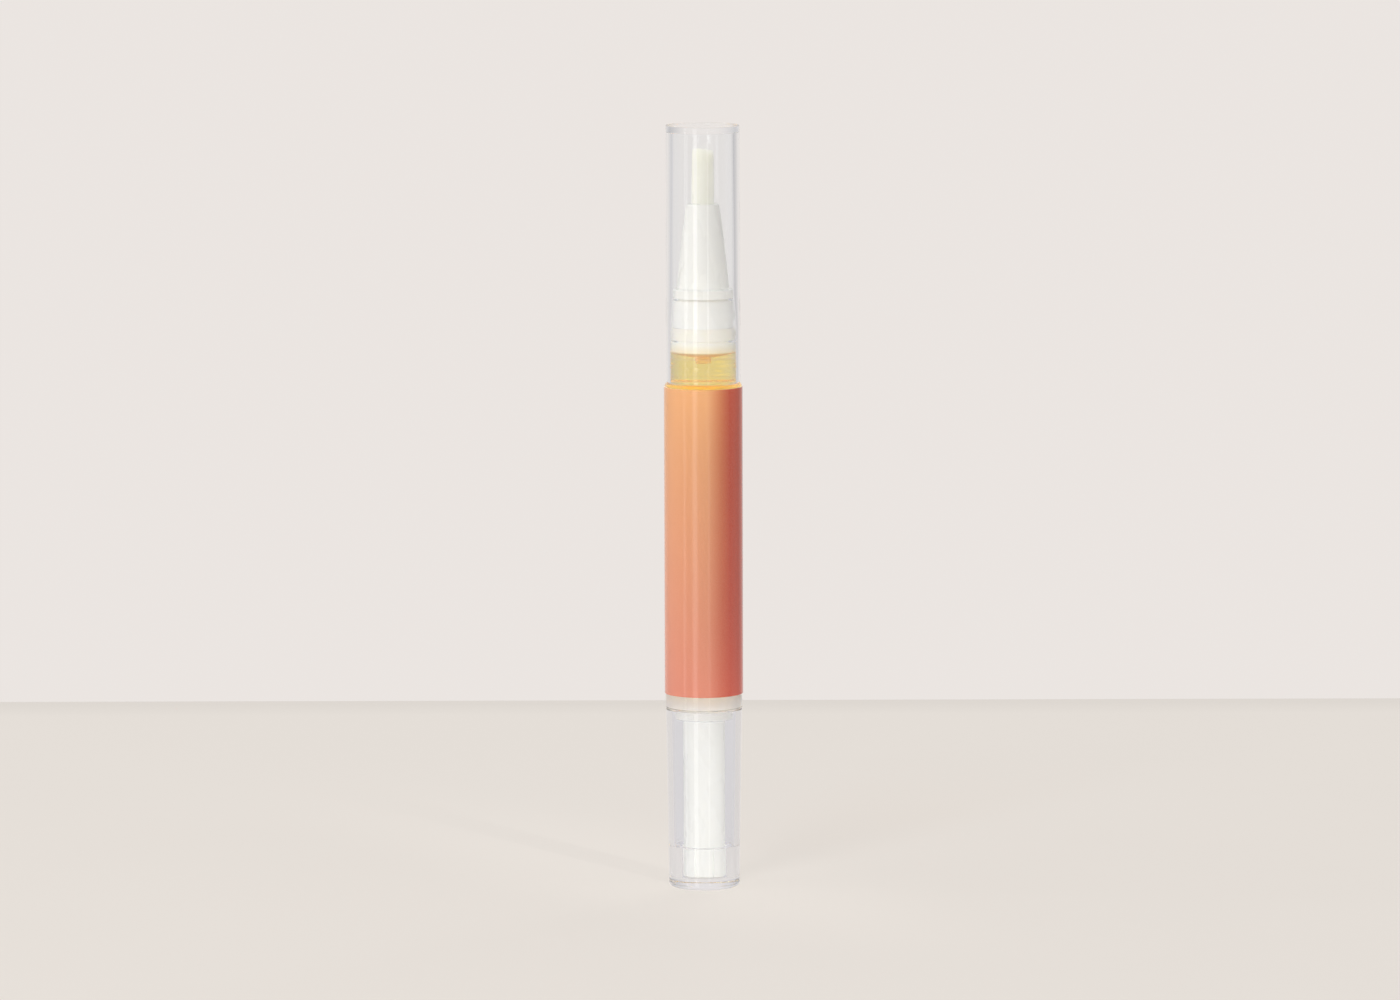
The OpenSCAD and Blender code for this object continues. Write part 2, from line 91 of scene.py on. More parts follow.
# Sizes of the barrel and the cap. The frame's boxes give the outer ones, and the inner
# ones repeat the part's own.
BARREL_Z = bottom("barrel")
SHOULDER_Z = 83.0
NECK_Z = 92.0
COLLAR_Z = top("barrel")
BARREL_R = radius("barrel")
BORE_R = 4.7
SEAT_R = 4.3
SEAT_Z = 87.35
SEAT_STEP = 0.4
NECK_R = 5.35
COLLAR_R = 4.95
BEAD_Z = 93.3
BEAD_TOP_Z = 95.1
BEAD_R = 5.2
SNAP_Z = 85.61
SNAP_R = 5.42
SNAP_HALF = 0.3
CAP_Z = bottom("cap")
CAP_TOP_Z = top("cap")
CAP_R = radius("cap")
CAP_TOP_R = 6.0
CAP_ROOF_Z = 123.9
CAP_LEDGE_Z = 95.25
CAP_SKIRT_R = 5.45
CAP_BORE_R = 5.15
CAP_BORE_TOP_R = 4.95

# Sizes of the knob and the sleeve in it
KNOB_TOP_Z = top("knob")
KNOB_MOUTH_R = radius("knob")
KNOB_BASE_R = 5.79
KNOB_WALL = 0.95
KNOB_FLOOR_Z = 1.8
SOCKET_Z = 6.8
SOCKET_R = 3.67
FOOT_RECESS = 0.35
FOOT_R = 4.99
FOOT_WIDTH = 1.3
SLEEVE_Z = bottom("drive_sleeve")
SLEEVE_TOP_Z = top("drive_sleeve")
SLEEVE_R = 3.4
SLEEVE_FLOOR = 0.8
SPLINES = 6
SPLINE_HALF_ANGLE = math.radians(7.6)
SPLINE_R = 3.62
SPLINE_TOP_Z = 6.75
KEYWAY_R = 2.25
KEYWAY_FLATS = 3.2
CLICK_NECK_Z = 30.5
CLICK_NECK_R = 2.8
CLICK_NECK_HEIGHT = 2.0
CATCH_COLLAR_Z = 34.1
CATCH_COLLAR_R = radius("drive_sleeve")
CATCH_COLLAR_LAND = 0.5
CATCH_COLLAR_HEIGHT = 1.0

# Sizes of the label
LABEL_Z = bottom("label")
LABEL_TOP_Z = top("label")
LABEL_R = radius("label")
LABEL_THICKNESS = 0.11
LABEL_OVERLAP = 2.6

# Sizes of the nozzle, the plug and the brush
FLANGE_R = radius("nozzle")
FLANGE_TOP_Z = 98.45
CONE_R = 4.25
TIP_R = 2.65
TIP_BORE_R = 1.9
TIP_Z = top("nozzle")
ROOT_SEAT_Z = 104.05
ROOT_SEAT_HEIGHT = 0.8
ROOT_BORE_R = 2.42
SKIRT_BORE_R = 3.33
PLUG_TOP_Z = top("inner_plug")
PLUG_Z = 87.95
PLUG_DISH = 0.55
PLUG_ENTRY = 0.35
NUB_Z = bottom("inner_plug")
NUB_R = 0.85
METERING_R = 0.45
FEED_R = radius("feed_tube")
BRISTLES = 900
BRISTLE_D = 0.1
BRUSH_R = radius("brush_bristles")
BRUSH_Z = 121.05
BRUSH_SLICE = 0.4
BRUSH_ROOT_Z = bottom("brush_bristles") + BRUSH_SLICE
BRUSH_STRAY = 0.45

# Sizes of the oil, the piston and the screw
OIL_Z = bottom("oil")
OIL_RIM = 0.6
PISTON_Z = bottom("piston")
SCREW_R = 2.2
SCREW_FLATS = 3.1
SCREW_Z = bottom("screw_rod")
SCREW_TOP_Z = top("screw_rod")
HEAD_R = 2.15
HEAD_NECK_R = 1.3

# How far a wetted or glued piece reaches into the clear wall that it touches, so that
# it is seen through that wall with no air between them
WETTED = 0.02


def rounded(corners):
    """The closed outline through (radius, height) corners. A corner's third value is its
    fillet, which turns it into an arc."""
    points = []
    for i, corner in enumerate(corners):
        here = Vector(corner[:2])
        if len(corner) < 3:
            points.append(here)
            continue
        before = Vector(corners[i - 1][:2]) - here
        after = Vector(corners[(i + 1) % len(corners)][:2]) - here
        half = before.angle(after) / 2
        longest = FILLET_SHARE * min(before.length, after.length)
        reach = min(corner[2] / math.tan(half), longest)
        fillet = reach * math.tan(half)
        middle = (before.normalized() + after.normalized()).normalized()
        centre = here + middle * fillet / math.sin(half)
        spoke = here + before.normalized() * reach - centre
        other = here + after.normalized() * reach - centre
        sweep = math.copysign(math.pi - 2 * half, spoke.x * other.y - spoke.y * other.x)
        steps = max(2, math.ceil(abs(sweep) / CORNER_STEP))
        for k in range(steps + 1):
            points.append(centre + Matrix.Rotation(sweep * k / steps, 2) @ spoke)
    return points


def with_holds(points):
    """The outline with a point close to each end of its long straight stretches."""
    result = []
    for i, here in enumerate(points):
        after = points[(i + 1) % len(points)]
        step = after - here
        result.append(here)
        on_axis = here.x < HOLD and after.x < HOLD
        if step.length > 4 * HOLD and not on_axis:
            result.append(here + step.normalized() * HOLD)
            result.append(after - step.normalized() * HOLD)
    return result


def turned(bm, corners, radius_at=None):
    """Adds to bm the solid turned from an outline. radius_at(r, z, angle) may change a
    point's radius on its way round. Returns the new faces."""
    points = with_holds(rounded(corners))
    rings = []
    for r, z in points:
        if r < TINY:
            rings.append([bm.verts.new((0, 0, z * MM))] * SEGMENTS)
            continue
        ring = []
        for k in range(SEGMENTS):
            angle = 2 * math.pi * k / SEGMENTS
            here = radius_at(r, z, angle) if radius_at else r
            ring.append(bm.verts.new((here * math.cos(angle) * MM,
                                      here * math.sin(angle) * MM, z * MM)))
        rings.append(ring)
    faces = []
    for i, ring in enumerate(rings):
        after = rings[(i + 1) % len(rings)]
        if ring[0] is ring[1] and after[0] is after[1]:
            continue
        for k in range(SEGMENTS):
            m = (k + 1) % SEGMENTS
            corners_of_face = []
            for vert in (ring[k], ring[m], after[m], after[k]):
                if vert not in corners_of_face:
                    corners_of_face.append(vert)
            faces.append(bm.faces.new(corners_of_face))
    return faces


def skin_over(bm, rings):
    """Joins rings of points into a closed skin with a face at each end."""
    for low, high in zip(rings, rings[1:]):
        for k in range(len(low)):
            m = (k + 1) % len(low)
            bm.faces.new((low[k], low[m], high[m], high[k]))
    bm.faces.new(rings[0][::-1])
    bm.faces.new(rings[-1])


def finished(name, bm, body, material, slot, *replaced):
    """Turns bm into the smooth-shaded piece that stands for the replaced nodes."""
    bmesh.ops.recalc_face_normals(bm, faces=bm.faces)
    mesh = bpy.data.meshes.new(name)
    bm.to_mesh(mesh)
    bm.free()
    mesh.shade_smooth()
    mesh.set_sharp_from_angle(angle=SHARP_ANGLE)
    piece = bpy.data.objects.new(name, mesh)
    bpy.context.scene.collection.objects.link(piece)
    piece.data.materials.append(material)
    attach(piece, body)
    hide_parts(*replaced)
    return piece


# Materials


def new_material(name):
    """A material with a Principled shader on its output."""
    material = bpy.data.materials.new(name)
    material.use_nodes = True
    tree = material.node_tree
    tree.nodes.clear()
    output = tree.nodes.new("ShaderNodeOutputMaterial")
    shader = tree.nodes.new("ShaderNodeBsdfPrincipled")
    tree.links.new(shader.outputs["BSDF"], output.inputs["Surface"])
    return material, tree, shader, output


def noise(tree, size, stretch=(1, 1, 1), detail=3.0):
    """Noise in the pen's own coordinates, of a feature size in millimetres."""
    place = tree.nodes.new("ShaderNodeTexCoord")
    mapping = tree.nodes.new("ShaderNodeMapping")
    mapping.inputs["Scale"].default_value = [1 / s for s in stretch]
    texture = tree.nodes.new("ShaderNodeTexNoise")
    texture.inputs["Scale"].default_value = 1 / (size * MM)
    texture.inputs["Detail"].default_value = detail
    tree.links.new(place.outputs["Object"], mapping.inputs["Vector"])
    tree.links.new(mapping.outputs["Vector"], texture.inputs["Vector"])
    return texture.outputs["Fac"]


def spread(tree, value, low, high, from_low=0.3, from_high=0.7):
    """The value mapped from one range to another, clamped. Noise mostly lies between 0.3
    and 0.7, which is the range to map from where none is given."""
    range_node = tree.nodes.new("ShaderNodeMapRange")
    range_node.inputs["From Min"].default_value = from_low
    range_node.inputs["From Max"].default_value = from_high
    range_node.inputs["To Min"].default_value = low
    range_node.inputs["To Max"].default_value = high
    tree.links.new(value, range_node.inputs["Value"])
    return range_node.outputs["Result"]


def mix(tree, factor, first, second):
    """The mix of two colours, each a colour or a socket."""
    node = tree.nodes.new("ShaderNodeMix")
    node.data_type = "RGBA"
    tree.links.new(factor, node.inputs[0])
    for socket, colour in ((node.inputs[6], first), (node.inputs[7], second)):
        if isinstance(colour, bpy.types.NodeSocket):
            tree.links.new(colour, socket)
        else:
            socket.default_value = (*colour, 1)
    return node.outputs[2]


def bump(tree, shader, height, depth):
    """Bumps the shader's surface by a height of 0 to 1 times depth, in millimetres."""
    node = tree.nodes.new("ShaderNodeBump")
    node.inputs["Strength"].default_value = 1
    node.inputs["Distance"].default_value = depth * MM
    tree.links.new(height, node.inputs["Height"])
    tree.links.new(node.outputs["Normal"], shader.inputs["Normal"])


def scatter(shader, weight, radius, scale):
    """Light that scatters under the surface, with a radius per colour, times a scale in
    millimetres."""
    shader.inputs["Subsurface Weight"].default_value = weight
    shader.inputs["Subsurface Radius"].default_value = radius
    shader.inputs["Subsurface Scale"].default_value = scale * MM


def place_in(tree, source="Object"):
    """The x, y and z sockets of a place in the pen's own coordinates, or of a direction
    in the world's."""
    place = tree.nodes.new("ShaderNodeTexCoord")
    parts = tree.nodes.new("ShaderNodeSeparateXYZ")
    tree.links.new(place.outputs[source], parts.inputs["Vector"])
    return parts.outputs["X"], parts.outputs["Y"], parts.outputs["Z"]


def calculated(tree, operation, first, second=None):
    """The result of a Math node on two values, each a number or a socket."""
    node = tree.nodes.new("ShaderNodeMath")
    node.operation = operation
    for socket, value in zip(node.inputs, (first, second)):
        if isinstance(value, bpy.types.NodeSocket):
            tree.links.new(value, socket)
        elif value is not None:
            socket.default_value = value
    return node.outputs["Value"]


def let_light_through(tree, shader, output, tint, clear_wall=False):
    """Lets lamps light what is inside or behind: shadow rays pass with a tint. A clear
    wall lets the world's soft light pass too."""
    path = tree.nodes.new("ShaderNodeLightPath")
    passing = path.outputs["Is Shadow Ray"]
    if clear_wall:
        passing = calculated(tree, "MAXIMUM", passing, path.outputs["Is Diffuse Ray"])
    clear = tree.nodes.new("ShaderNodeBsdfTransparent")
    clear.inputs["Color"].default_value = (*tint, 1)
    mixer = tree.nodes.new("ShaderNodeMixShader")
    tree.links.new(passing, mixer.inputs[0])
    tree.links.new(shader.outputs["BSDF"], mixer.inputs[1])
    tree.links.new(clear.outputs["BSDF"], mixer.inputs[2])
    tree.links.new(mixer.outputs["Shader"], output.inputs["Surface"])


def clear_plastic(name, pale, deep):
    """Clear styrene: a faint tint, moulding waves along it and light handling."""
    material, tree, shader, output = new_material(name)
    shader.inputs["Transmission Weight"].default_value = 1
    shader.inputs["IOR"].default_value = 1.57
    waves = noise(tree, 5, (1, 1, 6), 2)
    tint = mix(tree, waves, pale, deep)
    tree.links.new(tint, shader.inputs["Base Color"])
    smudges = spread(tree, noise(tree, 2.5, (1, 1, 2), 4), 0.01, 0.03)
    tree.links.new(smudges, shader.inputs["Roughness"])
    bump(tree, shader, waves, 0.03)
    let_light_through(tree, shader, output, (0.99, 0.99, 1.0), True)
    return material


def oil_liquid():
    """Clear yellow oil, which deepens with the depth that is looked through."""
    material, tree, shader, output = new_material("oil")
    shader.inputs["Transmission Weight"].default_value = 1
    shader.inputs["IOR"].default_value = 1.47
    shader.inputs["Roughness"].default_value = 0
    haze = noise(tree, 3, (1, 1, 1), 2)
    tint = mix(tree, haze, (1.0, 0.99, 0.95), (0.99, 0.97, 0.9))
    tree.links.new(tint, shader.inputs["Base Color"])
    depth = tree.nodes.new("ShaderNodeVolumeAbsorption")
    depth.inputs["Color"].default_value = (0.995, 0.87, 0.05, 1)
    depth.inputs["Density"].default_value = 160
    tree.links.new(depth.outputs["Volume"], output.inputs["Volume"])
    let_light_through(tree, shader, output, (1.0, 0.97, 0.85), True)
    return material


def white_plastic(name, pale, deep):
    """Glossy white polypropylene, a little translucent, with faint flow marks."""
    material, tree, shader, _ = new_material(name)
    flow = noise(tree, 3, (1, 1, 3), 4)
    colour = mix(tree, flow, pale, deep)
    tree.links.new(colour, shader.inputs["Base Color"])
    tree.links.new(spread(tree, flow, 0.22, 0.34), shader.inputs["Roughness"])
    scatter(shader, 0.15, (1.0, 0.95, 0.85), 0.4)
    bump(tree, shader, noise(tree, 0.35, (1, 1, 1), 2), 0.002)
    return material


def natural_plastic(name, oil_z):
    """Natural polyethylene: milky and waxy. Below oil_z it turns amber, which is painted light
    and shade: the oil-tinted light and the shade it gets inside the oil.
    """
    material, tree, shader, _ = new_material(name)
    cloud = noise(tree, 1.6, (1, 1, 1.5), 4)
    colour = mix(tree, cloud, (0.985, 0.95, 0.84), (0.97, 0.93, 0.80))
    _, _, height = place_in(tree)
    # Painted light and shade: below the oil line the colour turns amber, standing for the
    # oil-tinted light and shade inside the oil.
    oil_light_and_shade = spread(tree, height, 1, 0, (oil_z - 0.7) * MM, (oil_z + 1.6) * MM)
    tree.links.new(mix(tree, oil_light_and_shade, colour, (1.0, 0.80, 0.42)), shader.inputs["Base Color"])
    tree.links.new(spread(tree, cloud, 0.32, 0.5), shader.inputs["Roughness"])
    scatter(shader, 0.25, (1.0, 0.85, 0.6), 0.4)
    bump(tree, shader, noise(tree, 0.25, (1, 1, 1), 2), 0.004)
    return material


def milky_plastic(name, clearness, roughness):
    """Natural polypropylene, milky but see-through where it is thin."""
    material, tree, shader, output = new_material(name)
    cloud = noise(tree, 1.2, (1, 1, 1.5), 4)
    colour = mix(tree, cloud, (0.97, 0.965, 0.975), (0.95, 0.94, 0.95))
    tree.links.new(colour, shader.inputs["Base Color"])
    tree.links.new(spread(tree, cloud, roughness, 1.3 * roughness), shader.inputs["Roughness"])
    shader.inputs["Transmission Weight"].default_value = clearness
    shader.inputs["IOR"].default_value = 1.49
    bump(tree, shader, noise(tree, 0.25, (1, 1, 1), 2), 0.003)
    scatter(shader, 0.8, (1.0, 0.9, 0.8), 2)
    let_light_through(tree, shader, output, (0.9, 0.88, 0.86))
    return material


def nylon():
    """Fine nylon filament, ivory, with streaks along the strands."""
    material, tree, shader, output = new_material("nylon")
    streaks = noise(tree, 0.25, (1, 1, 12), 2)
    colour = mix(tree, streaks, (0.985, 0.98, 0.935), (0.97, 0.965, 0.90))
    tree.links.new(colour, shader.inputs["Base Color"])
    shader.inputs["Roughness"].default_value = 0.35
    scatter(shader, 0.4, (1.0, 1.0, 0.8), 0.6)
    bump(tree, shader, streaks, 0.01)
    let_light_through(tree, shader, output, (0.9, 0.9, 0.88))
    return material


# Label print, as linear colours: peach to terracotta round the pen, redder downwards. The
# turn lies between two angles to the right of the label's front.
PRINT_TOP_LEFT = (0.86, 0.42, 0.17)
PRINT_TOP_RIGHT = (0.53, 0.052, 0.010)
PRINT_LOW_LEFT = (0.79, 0.262, 0.172)
PRINT_LOW_RIGHT = (0.63, 0.082, 0.043)
PRINT_TURN_START = math.radians(5)
PRINT_TURN_END = math.radians(42)


def label_film():
    """Gloss film, printed in a soft gradient, with the slight waves of a wound label."""
    material, tree, shader, output = new_material("label_film")
    x, y, height = place_in(tree)
    angle = calculated(tree, "ARCTAN2", x, calculated(tree, "MULTIPLY", y, -1))
    across = spread(tree, angle, 0, 1, PRINT_TURN_START, PRINT_TURN_END)
    down = spread(tree, height, 1, 0, LABEL_Z * MM, LABEL_TOP_Z * MM)
    left = mix(tree, down, PRINT_TOP_LEFT, PRINT_LOW_LEFT)
    right = mix(tree, down, PRINT_TOP_RIGHT, PRINT_LOW_RIGHT)
    print_colour = mix(tree, across, left, right)
    grain = spread(tree, noise(tree, 0.12, (1, 1, 1), 2), 0.0, 0.1)
    tree.links.new(mix(tree, grain, print_colour, (0.9, 0.6, 0.45)),
                   shader.inputs["Base Color"])
    shader.inputs["Roughness"].default_value = 0.16
    shader.inputs["Coat Weight"].default_value = 0.3
    shader.inputs["Coat Roughness"].default_value = 0.08
    waves = noise(tree, 1.6, (1, 1, 14), 2)
    bump(tree, shader, waves, 0.045)
    let_light_through(tree, shader, output, (0.95, 0.8, 0.65))
    return material


def film_edge():
    """The label's cut edge and back: bare white film with a pale tint from the print."""
    material, tree, shader, output = new_material("film_edge")
    fibres = noise(tree, 0.2, (1, 1, 1), 3)
    colour = mix(tree, fibres, (1.0, 0.93, 0.78), (0.98, 0.89, 0.72))
    tree.links.new(colour, shader.inputs["Base Color"])
    shader.inputs["Roughness"].default_value = 0.4
    scatter(shader, 1, (1.0, 0.85, 0.65), 1)
    bump(tree, shader, fibres, 0.004)
    let_light_through(tree, shader, output, (1.0, 0.9, 0.75))
    return material


# Pieces


def make_cap(material):
    """The clear cap. Its bore widens to the skirt in a slow ramp, which leaves no dark
    ring in the thick wall."""
    top_fillet = 0.12
    ramp_top_z = CAP_LEDGE_Z + 2
    ramp_z = CAP_LEDGE_Z - 3
    ramp_fillet = 20
    bm = bmesh.new()
    turned(bm, [
        (CAP_SKIRT_R, CAP_Z, SOFT), (CAP_R, CAP_Z, SOFT), (CAP_TOP_R, CAP_TOP_Z, top_fillet),
        (0, CAP_TOP_Z), (0, CAP_ROOF_Z),
        (CAP_BORE_TOP_R, CAP_ROOF_Z, FINE), (CAP_BORE_R, ramp_top_z, ramp_fillet),
        (CAP_SKIRT_R, ramp_z, ramp_fillet),
    ])
    return finished("clear_cap", bm, "cap_body", material, "clear_plastic", "cap")


def make_barrel(material):
    """The clear barrel: a thick wall, then the neck that the cap fits on, and the collar
    with its bead."""
    rim_fillet = 0.08
    shoulder_fillet = 0.25
    step_z = NECK_Z - 0.4
    step_top_z = NECK_Z + 0.2
    bead_foot = 0.1
    bead_flank = 0.5
    bm = bmesh.new()
    turned(bm, [
        (BORE_R, BARREL_Z, CRISP), (BARREL_R, BARREL_Z, rim_fillet),
        (BARREL_R, SHOULDER_Z, ROUND), (NECK_R, SHOULDER_Z, shoulder_fillet),
        (NECK_R, SNAP_Z - SNAP_HALF), (SNAP_R, SNAP_Z, SOFT), (NECK_R, SNAP_Z + SNAP_HALF),
        (NECK_R, step_z, ROUND), (COLLAR_R, step_top_z, ROUND),
        (COLLAR_R, BEAD_Z - bead_foot, SOFT), (BEAD_R, BEAD_Z + bead_flank, bead_flank),
        (BEAD_R, BEAD_TOP_Z - bead_flank, bead_flank),
        (COLLAR_R, BEAD_TOP_Z + bead_foot, SOFT),
        (COLLAR_R, COLLAR_Z, CRISP), (SEAT_R, COLLAR_Z, CRISP),
        (SEAT_R, SEAT_Z, FINE), (BORE_R, SEAT_Z - SEAT_STEP, FINE),
    ])
    return finished("clear_barrel", bm, "barrel_body", material, "clear_plastic", "barrel")


def in_spline(angle):
    """Whether a point at this angle round the sleeve is on a spline."""
    pitch = 2 * math.pi / SPLINES
    return abs((angle + pitch / 2) % pitch - pitch / 2) < SPLINE_HALF_ANGLE


def cut_by_flats(r, angle, across):
    """The radius r, cut where it passes two flats that stand this far across."""
    return min(r, across / 2 / max(abs(math.cos(angle)), TINY))


def make_knob(material):
    """The clear knob, whose tapered bore steps in to the sleeve's socket. The socket is
    round and as wide as the splines' slots, which the photograph doesn't show."""
    def outside(z):
        return KNOB_BASE_R + (KNOB_MOUTH_R - KNOB_BASE_R) * z / KNOB_TOP_Z

    base_fillet = 0.8
    mouth_fillet = 0.15
    recess_r = FOOT_R - FOOT_WIDTH
    bm = bmesh.new()
    turned(bm, [
        (0, FOOT_RECESS), (recess_r, FOOT_RECESS, FINE),
        (recess_r + FOOT_RECESS, 0, FINE), (KNOB_BASE_R, 0, base_fillet),
        (KNOB_MOUTH_R, KNOB_TOP_Z, mouth_fillet),
        (KNOB_MOUTH_R - KNOB_WALL, KNOB_TOP_Z, mouth_fillet),
        (outside(SOCKET_Z) - KNOB_WALL, SOCKET_Z, FINE),
        (SOCKET_R, SOCKET_Z, CRISP), (SOCKET_R, KNOB_FLOOR_Z),
        (0, KNOB_FLOOR_Z),
    ])
    return finished("clear_knob", bm, "knob_body", material, "clear_plastic", "knob")


def make_sleeve(material):
    """The white sleeve: splined at its foot, necked for the click ring, and bored with
    two flats for the screw."""
    chamfer = 0.2
    spline_end = 0.01

    def shaped(r, z, angle):
        if r < KEYWAY_R + HOLD:
            return cut_by_flats(r, angle, KEYWAY_FLATS)
        if z < SPLINE_TOP_Z and r > SLEEVE_R - HOLD / 2:
            return SPLINE_R if in_spline(angle) else r
        return r

    bm = bmesh.new()
    turned(bm, [
        (0, SLEEVE_Z), (SLEEVE_R - chamfer, SLEEVE_Z), (SLEEVE_R, SLEEVE_Z + chamfer),
        (SLEEVE_R, SPLINE_TOP_Z - spline_end), (SLEEVE_R, SPLINE_TOP_Z),
        (SLEEVE_R, CLICK_NECK_Z), (CLICK_NECK_R, CLICK_NECK_Z),
        (CLICK_NECK_R, CLICK_NECK_Z + CLICK_NECK_HEIGHT),
        (SLEEVE_R, CLICK_NECK_Z + CLICK_NECK_HEIGHT), (SLEEVE_R, CATCH_COLLAR_Z),
        (CATCH_COLLAR_R, CATCH_COLLAR_Z, CRISP),
        (CATCH_COLLAR_R, CATCH_COLLAR_Z + CATCH_COLLAR_LAND, FINE),
        (SLEEVE_R, CATCH_COLLAR_Z + CATCH_COLLAR_HEIGHT), (SLEEVE_R, SLEEVE_TOP_Z, FINE),
        (KEYWAY_R, SLEEVE_TOP_Z), (KEYWAY_R, SLEEVE_Z + SLEEVE_FLOOR),
        (0, SLEEVE_Z + SLEEVE_FLOOR),
    ], shaped)
    return finished("splined_sleeve", bm, "knob_body", material, "white_plastic",
                    "drive_sleeve")


def make_nozzle(material, lighter_skirt_material):
    """The white nozzle: an ogive cone over the flange that caps the collar, and a skirt that
    is pressed into the collar's wall. The skirt's white is a touch lighter: painted light that
    makes up for the light lost in the collar's wall."""
    skirt_r = SEAT_R + WETTED
    skirt_z = PLUG_TOP_Z + 0.01
    skirt_top_z = COLLAR_Z - 0.4
    lead_in = 0.2
    under_flange_z = COLLAR_Z - WETTED / 2
    under_flange_fillet = 0.02
    flange_fillet = 0.25
    tip_fillet = 0.28
    bulge = 0.07
    steps = 12
    cone = []
    for i in range(1, steps):
        t = i / steps
        r = TIP_R + (CONE_R - TIP_R) * (1 - t + 4 * bulge * t * (1 - t))
        cone.append((r, FLANGE_TOP_Z + t * (TIP_Z - FLANGE_TOP_Z)))
    bm = bmesh.new()
    faces = turned(bm, [
        (SKIRT_BORE_R, skirt_z, FINE), (skirt_r, skirt_z, CRISP), (skirt_r, skirt_top_z, FINE),
        (skirt_r - lead_in, under_flange_z, CRISP),
        (FLANGE_R, under_flange_z, under_flange_fillet),
        (FLANGE_R, FLANGE_TOP_Z, flange_fillet),
        (CONE_R, FLANGE_TOP_Z, EASED), *cone, (TIP_R, TIP_Z, tip_fillet),
        (TIP_BORE_R, TIP_Z, FINE), (TIP_BORE_R, ROOT_SEAT_Z), (ROOT_BORE_R, ROOT_SEAT_Z),
        (ROOT_BORE_R, ROOT_SEAT_Z - ROOT_SEAT_HEIGHT), (SKIRT_BORE_R, COLLAR_Z, SOFT),
    ])
    # Painted light: the faces in the collar take a slightly lighter copy of the white, for the
    # light that the collar's clear wall holds back.
    for face in faces:
        in_collar = face.calc_center_median().z < COLLAR_Z * MM
        face.material_index = 1 if in_collar else 0
    piece = finished("nozzle_cone", bm, "barrel_body", material, "white_plastic", "nozzle")
    piece.data.materials.append(lighter_skirt_material)
    return piece


def make_plug(material):
    """The plug, whose sealing bands are pressed into the neck's wall. Its dished face
    carries the nub with the metering hole."""
    band_r = SEAT_R + WETTED
    band_z = PLUG_Z + 0.18
    groove_z = 89.83
    groove_height = 0.26
    groove_depth = 0.12
    groove_fillet = 0.06
    cup_z = 89.47
    hole_fillet = 0.08
    bm = bmesh.new()
    turned(bm, [
        (METERING_R, NUB_Z, hole_fillet), (NUB_R, NUB_Z, SOFT),
        (NUB_R, PLUG_Z - PLUG_DISH, ROUND), (2 * NUB_R, PLUG_Z - PLUG_DISH, SOFT),
        (band_r - PLUG_ENTRY, PLUG_Z, EASED), (band_r, band_z, FINE),
        (band_r, groove_z, groove_fillet),
        (band_r - groove_depth, groove_z + groove_fillet, CRISP),
        (band_r - groove_depth, groove_z + groove_height - groove_fillet, CRISP),
        (band_r, groove_z + groove_height, groove_fillet), (band_r, PLUG_TOP_Z, FINE),
        (SKIRT_BORE_R, PLUG_TOP_Z, FINE), (SKIRT_BORE_R, cup_z + PLUG_DISH, EASED),
        (2 * NUB_R, cup_z, SOFT), (METERING_R, cup_z, FINE),
    ])
    return finished("sealing_plug", bm, "barrel_body", material, "natural_plastic",
                    "inner_plug")


def make_oil(material):
    """The oil, which wets the bore, the plug and the piston's crown."""
    r = BORE_R + WETTED
    seat_r = SEAT_R + WETTED
    nub_r = NUB_R - WETTED
    rim_width = 0.5
    lap = 0.1
    band_lap = 0.3
    dish_z = PLUG_Z - PLUG_DISH + lap
    nub_fillet = 0.25
    bm = bmesh.new()
    turned(bm, [
        (0, OIL_Z), (NUB_R, OIL_Z, SOFT), (r - rim_width, OIL_Z + OIL_RIM, EASED),
        (r, OIL_Z + OIL_RIM),
        (r, SEAT_Z - SEAT_STEP, FINE), (seat_r, SEAT_Z, FINE), (seat_r, PLUG_Z + band_lap),
        (SEAT_R - PLUG_ENTRY - lap, PLUG_Z + lap, EASED),
        (2 * NUB_R - lap, dish_z, SOFT), (nub_r, dish_z, nub_fillet),
        (nub_r, NUB_Z + WETTED, nub_fillet), (0, NUB_Z + WETTED),
    ])
    return finished("oil_filling", bm, "barrel_body", material, "oil", "oil")


def make_label(print_material, edge_material):
    """The wound film: printed outside, bare at its edges and back, and overlapped at the
    seam. Its back lies a hair inside the barrel's surface, as glued film does."""
    inner = BARREL_R - WETTED
    lip_start = math.pi / 2 - LABEL_OVERLAP / 2 / BARREL_R
    lip_end = math.pi / 2 + LABEL_OVERLAP / 2 / BARREL_R
    ease = math.radians(2.5)
    edge_fillet = 0.04
    printed_r = LABEL_R - 0.03

    def overlapped(r, z, angle):
        if r < LABEL_R - LABEL_THICKNESS / 2:
            return r
        rise = min(max((angle - lip_start) / ease, 0), 1)
        lifted = rise * rise * (3 - 2 * rise) if angle < lip_end else 0
        return r + LABEL_THICKNESS * lifted

    bm = bmesh.new()
    faces = turned(bm, [
        (inner, LABEL_Z), (LABEL_R, LABEL_Z, edge_fillet),
        (LABEL_R, LABEL_TOP_Z, edge_fillet), (inner, LABEL_TOP_Z),
    ], overlapped)
    for face in faces:
        centre = face.calc_center_median()
        bare = math.hypot(centre.x, centre.y) < printed_r * MM
        face.material_index = 1 if bare else 0
    piece = finished("wound_label", bm, "barrel_body", print_material, "label_film", "label")
    piece.data.materials.append(edge_material)
    return piece


